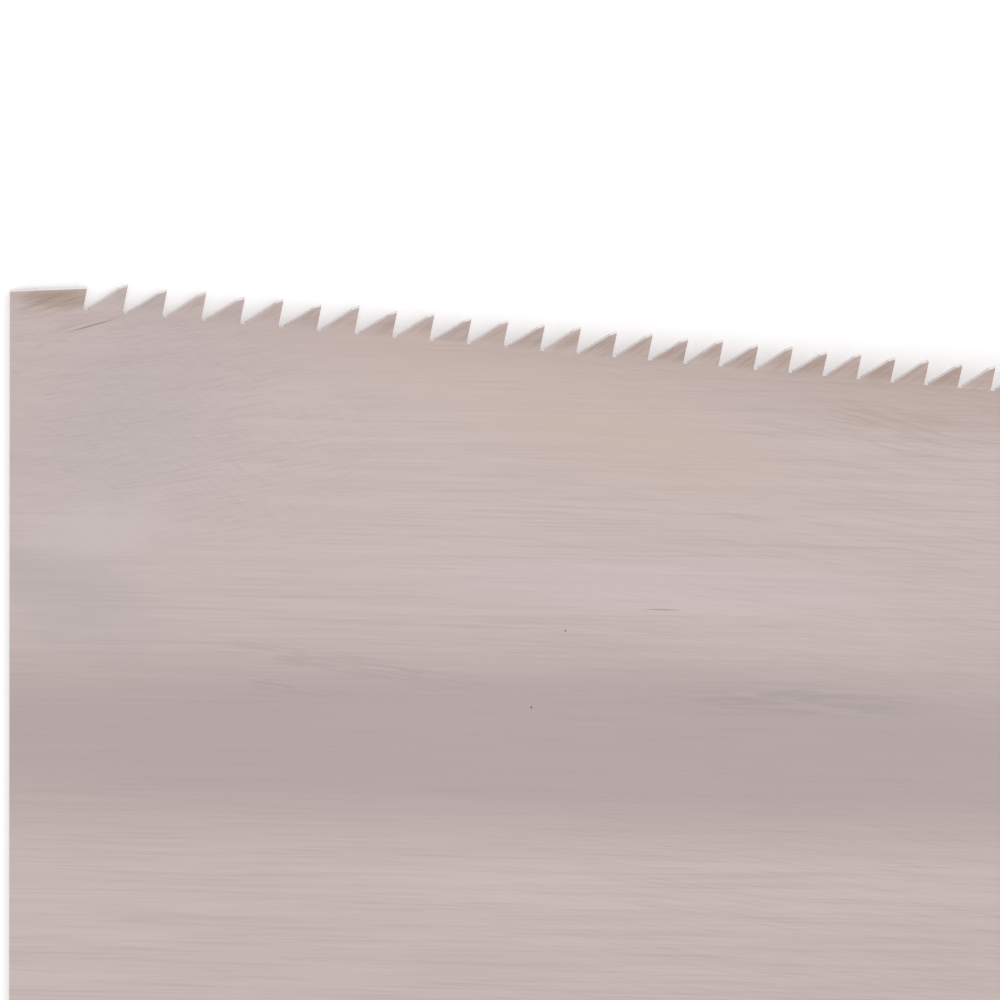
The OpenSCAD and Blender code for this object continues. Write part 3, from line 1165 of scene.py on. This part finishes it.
@dataclass
class CaneBinding:
    """One length of split cane, wound over the front of the handle and tucked in at both ends."""

    turns: int = 24
    solid_width: float = 4.0 * MM
    width: float = 4.36 * MM
    tucked_width: float = 4.1 * MM
    thickness: float = 1.4 * MM
    seat_gap: float = 0.15 * MM
    tuck_radius: float = 1.0 * MM
    tuck_length: float = 4.0 * MM
    rings_in_turn: int = 60
    rings_in_bend: int = 8
    crown_steps: int = 9
    side_height: float = 0.4
    crown_power: float = 0.6
    smooth_angle: float = radians(50)

    def section(self) -> list[tuple[float, float]]:
        """Draw the strip's section: flat below, with low sides and a crown above.

        Returns:
            Its points, in shares of its width and thickness.
        """
        crown = []
        for step in range(self.crown_steps):
            angle = pi * step / (self.crown_steps - 1)
            rise = self.side_height + (1 - self.side_height) * abs(sin(angle)) ** self.crown_power
            crown.append((0.5 * cos(angle), rise))
        return [(-0.5, 0.0), (0.0, 0.0), (0.5, 0.0), *crown]

    def bend(self, centre: Vector, side: int) -> list[Station]:
        """Lay out a tucked end: a tail inside the handle and a quarter turn out of it.

        Args:
            centre: The centre of the quarter turn.
            side: -1 at the start of the winding and 1 at its end.

        Returns:
            The stations, from the tip of the tail to the winding.
        """
        tip = centre + Vector((0.0, side * self.tuck_radius, self.tuck_length))
        stations = [Station(tip, Vector((0.0, float(side), 0.0)), self.tucked_width)]
        for step in range(self.rings_in_bend, 0, -1):
            share = step / self.rings_in_bend
            angle = pi / 2 * share
            out = Vector((0.0, side * sin(angle), -cos(angle)))
            width = self.width + (self.tucked_width - self.width) * share
            stations.append(Station(centre + self.tuck_radius * out, out, width))
        return stations

    def route(self) -> list[Station]:
        """Lay out the whole strip: a tucked end, the turns round the handle and the other end.

        Returns:
            The stations, in order.
        """
        low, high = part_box("cane_binding")
        middle = Vector((0.0, (low.y + high.y) / 2, (low.z + high.z) / 2))
        half_y = (high.y - low.y) / 2 - self.thickness - self.seat_gap
        half_z = (high.z - low.z) / 2 - self.thickness - self.seat_gap
        first = low.x + self.solid_width / 2
        pitch = (high.x - low.x - self.solid_width) / self.turns
        last = first + pitch * self.turns
        bend_height = -half_z - self.seat_gap + self.tuck_radius
        start = self.bend(middle + Vector((first, 0.0, bend_height)), -1)
        ending = self.bend(middle + Vector((last, 0.0, bend_height)), 1)
        winding = []
        for step in range(self.turns * self.rings_in_turn + 1):
            angle = 2 * pi * step / self.rings_in_turn - pi / 2
            out = Vector((0.0, cos(angle) / half_y, sin(angle) / half_z)).normalized()
            x = first + pitch * step / self.rings_in_turn
            place = middle + Vector((x, half_y * cos(angle), half_z * sin(angle))) + self.seat_gap * out
            winding.append(Station(place, out, self.width))
        return [*start, *winding, *reversed(ending)]

    def ring(
        self, work: bmesh.types.BMesh, station: Station, travelled: float
    ) -> list[bmesh.types.BMVert]:
        """Add the strip's section at a station, with a record on each point of where it lies on the strip.

        Args:
            work: The strip's mesh.
            station: The station.
            travelled: Length of the strip up to there.

        Returns:
            The points of the section.
        """
        record = work.verts.layers.float_vector["winding"]
        points = []
        for share, rise in self.section():
            across = share * station.width
            up = rise * self.thickness
            vert = work.verts.new(station.place + Vector((across, 0.0, 0.0)) + up * station.out)
            vert[record] = Vector((travelled, across, up))
            points.append(vert)
        return points

    def build(self) -> bpy.types.Object:
        """Build the binding.

        Returns:
            The piece.
        """
        stations = self.route()
        work = bmesh.new()
        work.verts.layers.float_vector.new("winding")
        rings = []
        travelled = 0.0
        before = stations[0].place
        for station in stations:
            travelled += (station.place - before).length
            before = station.place
            rings.append(self.ring(work, station, travelled))
        count = len(rings[0])
        for ring, following in zip(rings, rings[1:]):
            for k in range(count):
                n = (k + 1) % count
                work.faces.new((ring[k], ring[n], following[n], following[k]))
        work.faces.new(rings[0])
        work.faces.new(rings[-1][::-1])
        bmesh.ops.recalc_face_normals(work, faces=work.faces)
        piece = new_piece(work, "wound_cane", [SplitCane().material()], self.smooth_angle)
        seat(piece, "handle", "cane_binding")
        return piece


@dataclass
class Studio:
    """The camera, the soft white light and the pale floor on which the saw lies."""

    lens: float = 300.0
    distance: float = 0.8657
    tilt: float = radians(17.0)
    roll: float = radians(1.09)
    aim_from_toe: tuple[float, float] = (50.92 * MM, 28.29 * MM)
    light_level: float = 0.82
    lamp_power: float = 7.0
    lamp_size: float = 1.3
    lamp_place: Size = (0.5, 0.8, 1.5)
    floor_reach: float = 4.0
    floor_smooth_angle: float = radians(30)
    level_ahead: float = 20 * MM
    toe_gap: float = 0.35 * MM

    def camera(self, toe: Vector) -> None:
        """Place the camera as the photograph was taken.

        Args:
            toe: The middle of the toe's edge.
        """
        away = Vector((0.0, sin(self.tilt), cos(self.tilt)))
        level_up = Vector((0.0, cos(self.tilt), -sin(self.tilt)))
        level_right = Vector((1.0, 0.0, 0.0))
        right = cos(self.roll) * level_right + sin(self.roll) * level_up
        up = cos(self.roll) * level_up - sin(self.roll) * level_right
        aim = toe + Vector((*self.aim_from_toe, 0.0))
        data = bpy.data.cameras.new("long_lens")
        data.type = "PERSP"
        data.lens = self.lens
        camera = bpy.data.objects.new("long_lens", data)
        turn = Matrix((right, up, away)).transposed().to_4x4()
        camera.matrix_world = Matrix.Translation(aim + self.distance * away) @ turn
        bpy.context.scene.collection.objects.link(camera)
        bpy.context.scene.camera = camera

    def world(self) -> None:
        """Set a white world, which the camera and reflections see as pure white."""
        world = bpy.data.worlds.new("soft_white")
        world.use_nodes = True
        graph = Graph(world.node_tree)
        added = graph.math("MULTIPLY", graph.seen("Glossy", "Transmission"), 1.0 - self.light_level)
        background = next(node for node in world.node_tree.nodes if node.type == "BACKGROUND")
        graph.fill(background, {"Color": WHITE, "Strength": graph.math("ADD", added, self.light_level)})
        bpy.context.scene.world = world

    def lamp(self) -> None:
        """Hang one large soft lamp that looks at the middle of the saw."""
        data = bpy.data.lights.new("soft_lamp", "AREA")
        data.energy = self.lamp_power
        data.size = self.lamp_size
        lamp = bpy.data.objects.new("soft_lamp", data)
        lamp.location = self.lamp_place
        lamp.rotation_euler = Vector(self.lamp_place).to_track_quat("Z", "Y").to_euler()
        bpy.context.scene.collection.objects.link(lamp)

    def floor_profile(self) -> list[tuple[float, float]]:
        """Draw the floor from the side: level up to the toe, then falling to the mouth of the handle.

        Returns:
            Its points along X, with their heights.
        """
        plate_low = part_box("saw_plate")[0]
        handle_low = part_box("handle_lower_half")[0]
        cane_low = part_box("cane_binding")[0]
        toe_height = plate_low.z - self.toe_gap
        fall = (toe_height - cane_low.z) / (cane_low.x - plate_low.x)
        end = handle_low.x + self.floor_reach
        logger.info("floor under the toe at %.4f m, falling %.4f per metre", toe_height, fall)
        return [
            (-self.floor_reach, toe_height),
            (plate_low.x - self.level_ahead, toe_height),
            (plate_low.x, toe_height),
            (end, toe_height - fall * (end - plate_low.x)),
        ]

    def floor(self) -> None:
        """Lay the floor so that the saw rests on its toe and on the mouth of its handle."""
        work = bmesh.new()
        sides = (-self.floor_reach, self.floor_reach)
        rows = [[work.verts.new((x, y, z)) for y in sides] for x, z in self.floor_profile()]
        for here, there in zip(rows, rows[1:]):
            work.faces.new((here[0], there[0], there[1], here[1]))
        piece = new_piece(work, "floor", [PaleFloor().material()], self.floor_smooth_angle)


def main() -> None:
    """Load the frame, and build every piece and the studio."""
    logging.basicConfig(level=logging.INFO, format="%(message)s")
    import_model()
    bpy.context.scene.view_settings.view_transform = "Standard"
    studio = Studio()
    studio.camera(Plate().toe())
    Plate().build()
    Neck().build()
    Handle().build()
    CaneBinding().build()
    studio.world()
    studio.lamp()
    studio.floor()


if __name__ == "__main__":
    main()
